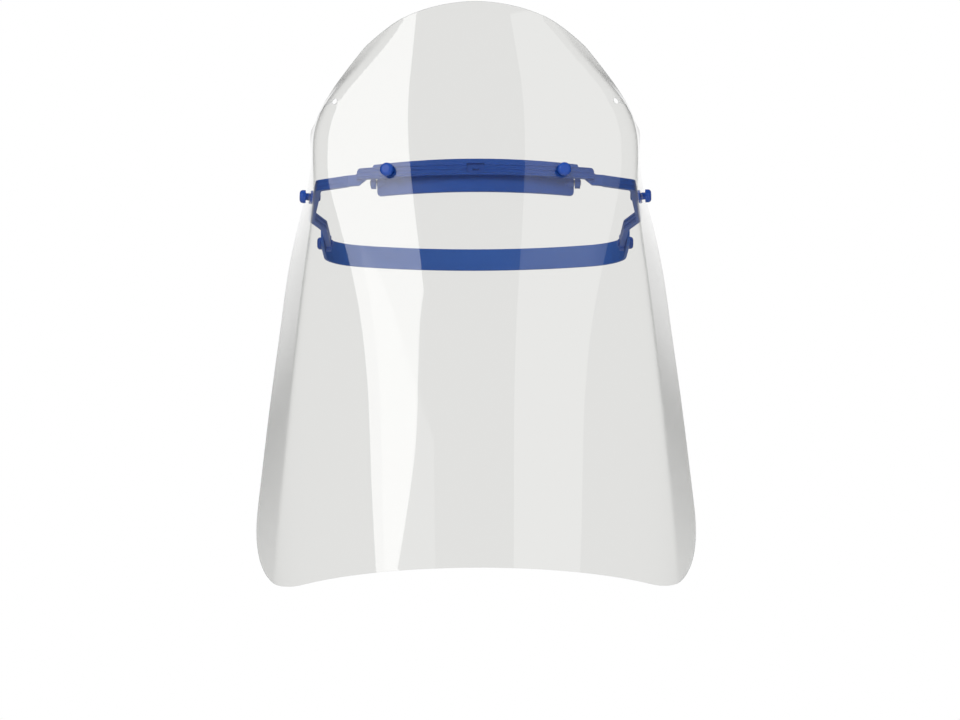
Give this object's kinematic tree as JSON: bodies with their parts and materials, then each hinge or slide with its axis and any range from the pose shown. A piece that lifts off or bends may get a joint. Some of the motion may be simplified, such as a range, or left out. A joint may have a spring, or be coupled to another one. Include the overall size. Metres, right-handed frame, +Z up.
{
  "type": "face shield",
  "caption": "Face shield: a clear flared visor with a domed top, pushed over mushroom studs of a ribbed headband with a tilting cushioned brow plate and a sliding rear strap.",
  "frame": {"origin": "centre of the head opening, level with the front studs", "axes": "+Z up the visor, the wearer looks along -Y, +X on the wearer's left"},
  "size_m": [0.2214, 0.2392, 0.2847],
  "materials": {
    "clear_film": "clear polyester sheet",
    "blue_plastic": "moulded polypropylene, satin",
    "stud_plastic": "moulded polypropylene, gloss",
    "strap_plastic": "flexible moulded strap",
    "brow_foam": "closed-cell foam",
    "pin_steel": "drawn wire"
  },
  "bodies": {
    "headband": {"visor": "clear_film", "brow_bar": "blue_plastic", "left_side_arm": "blue_plastic", "right_side_arm": "blue_plastic", "left_front_stud": "stud_plastic", "left_side_stud": "stud_plastic", "left_rear_stud": "stud_plastic", "right_front_stud": "stud_plastic", "right_side_stud": "stud_plastic", "right_rear_stud": "stud_plastic"},
    "brow_rest": {"brow_plate": "blue_plastic", "brow_cushion": "brow_foam", "left_pivot_pin": "pin_steel", "right_pivot_pin": "pin_steel"},
    "strap": {"rear_strap": "strap_plastic"}
  },
  "joints": [
    {"name": "brow_rest_tilt", "type": "hinge", "parent": "headband", "child": "brow_rest", "pos_m": [0, -0.101, -0.004], "axis": [1, 0, 0], "range_deg": [-10, 10]},
    {"name": "strap_adjust", "type": "slide", "parent": "headband", "child": "strap", "axis": [0, 1, 0], "range_m": [-0.006, 0.018]}
  ]
}
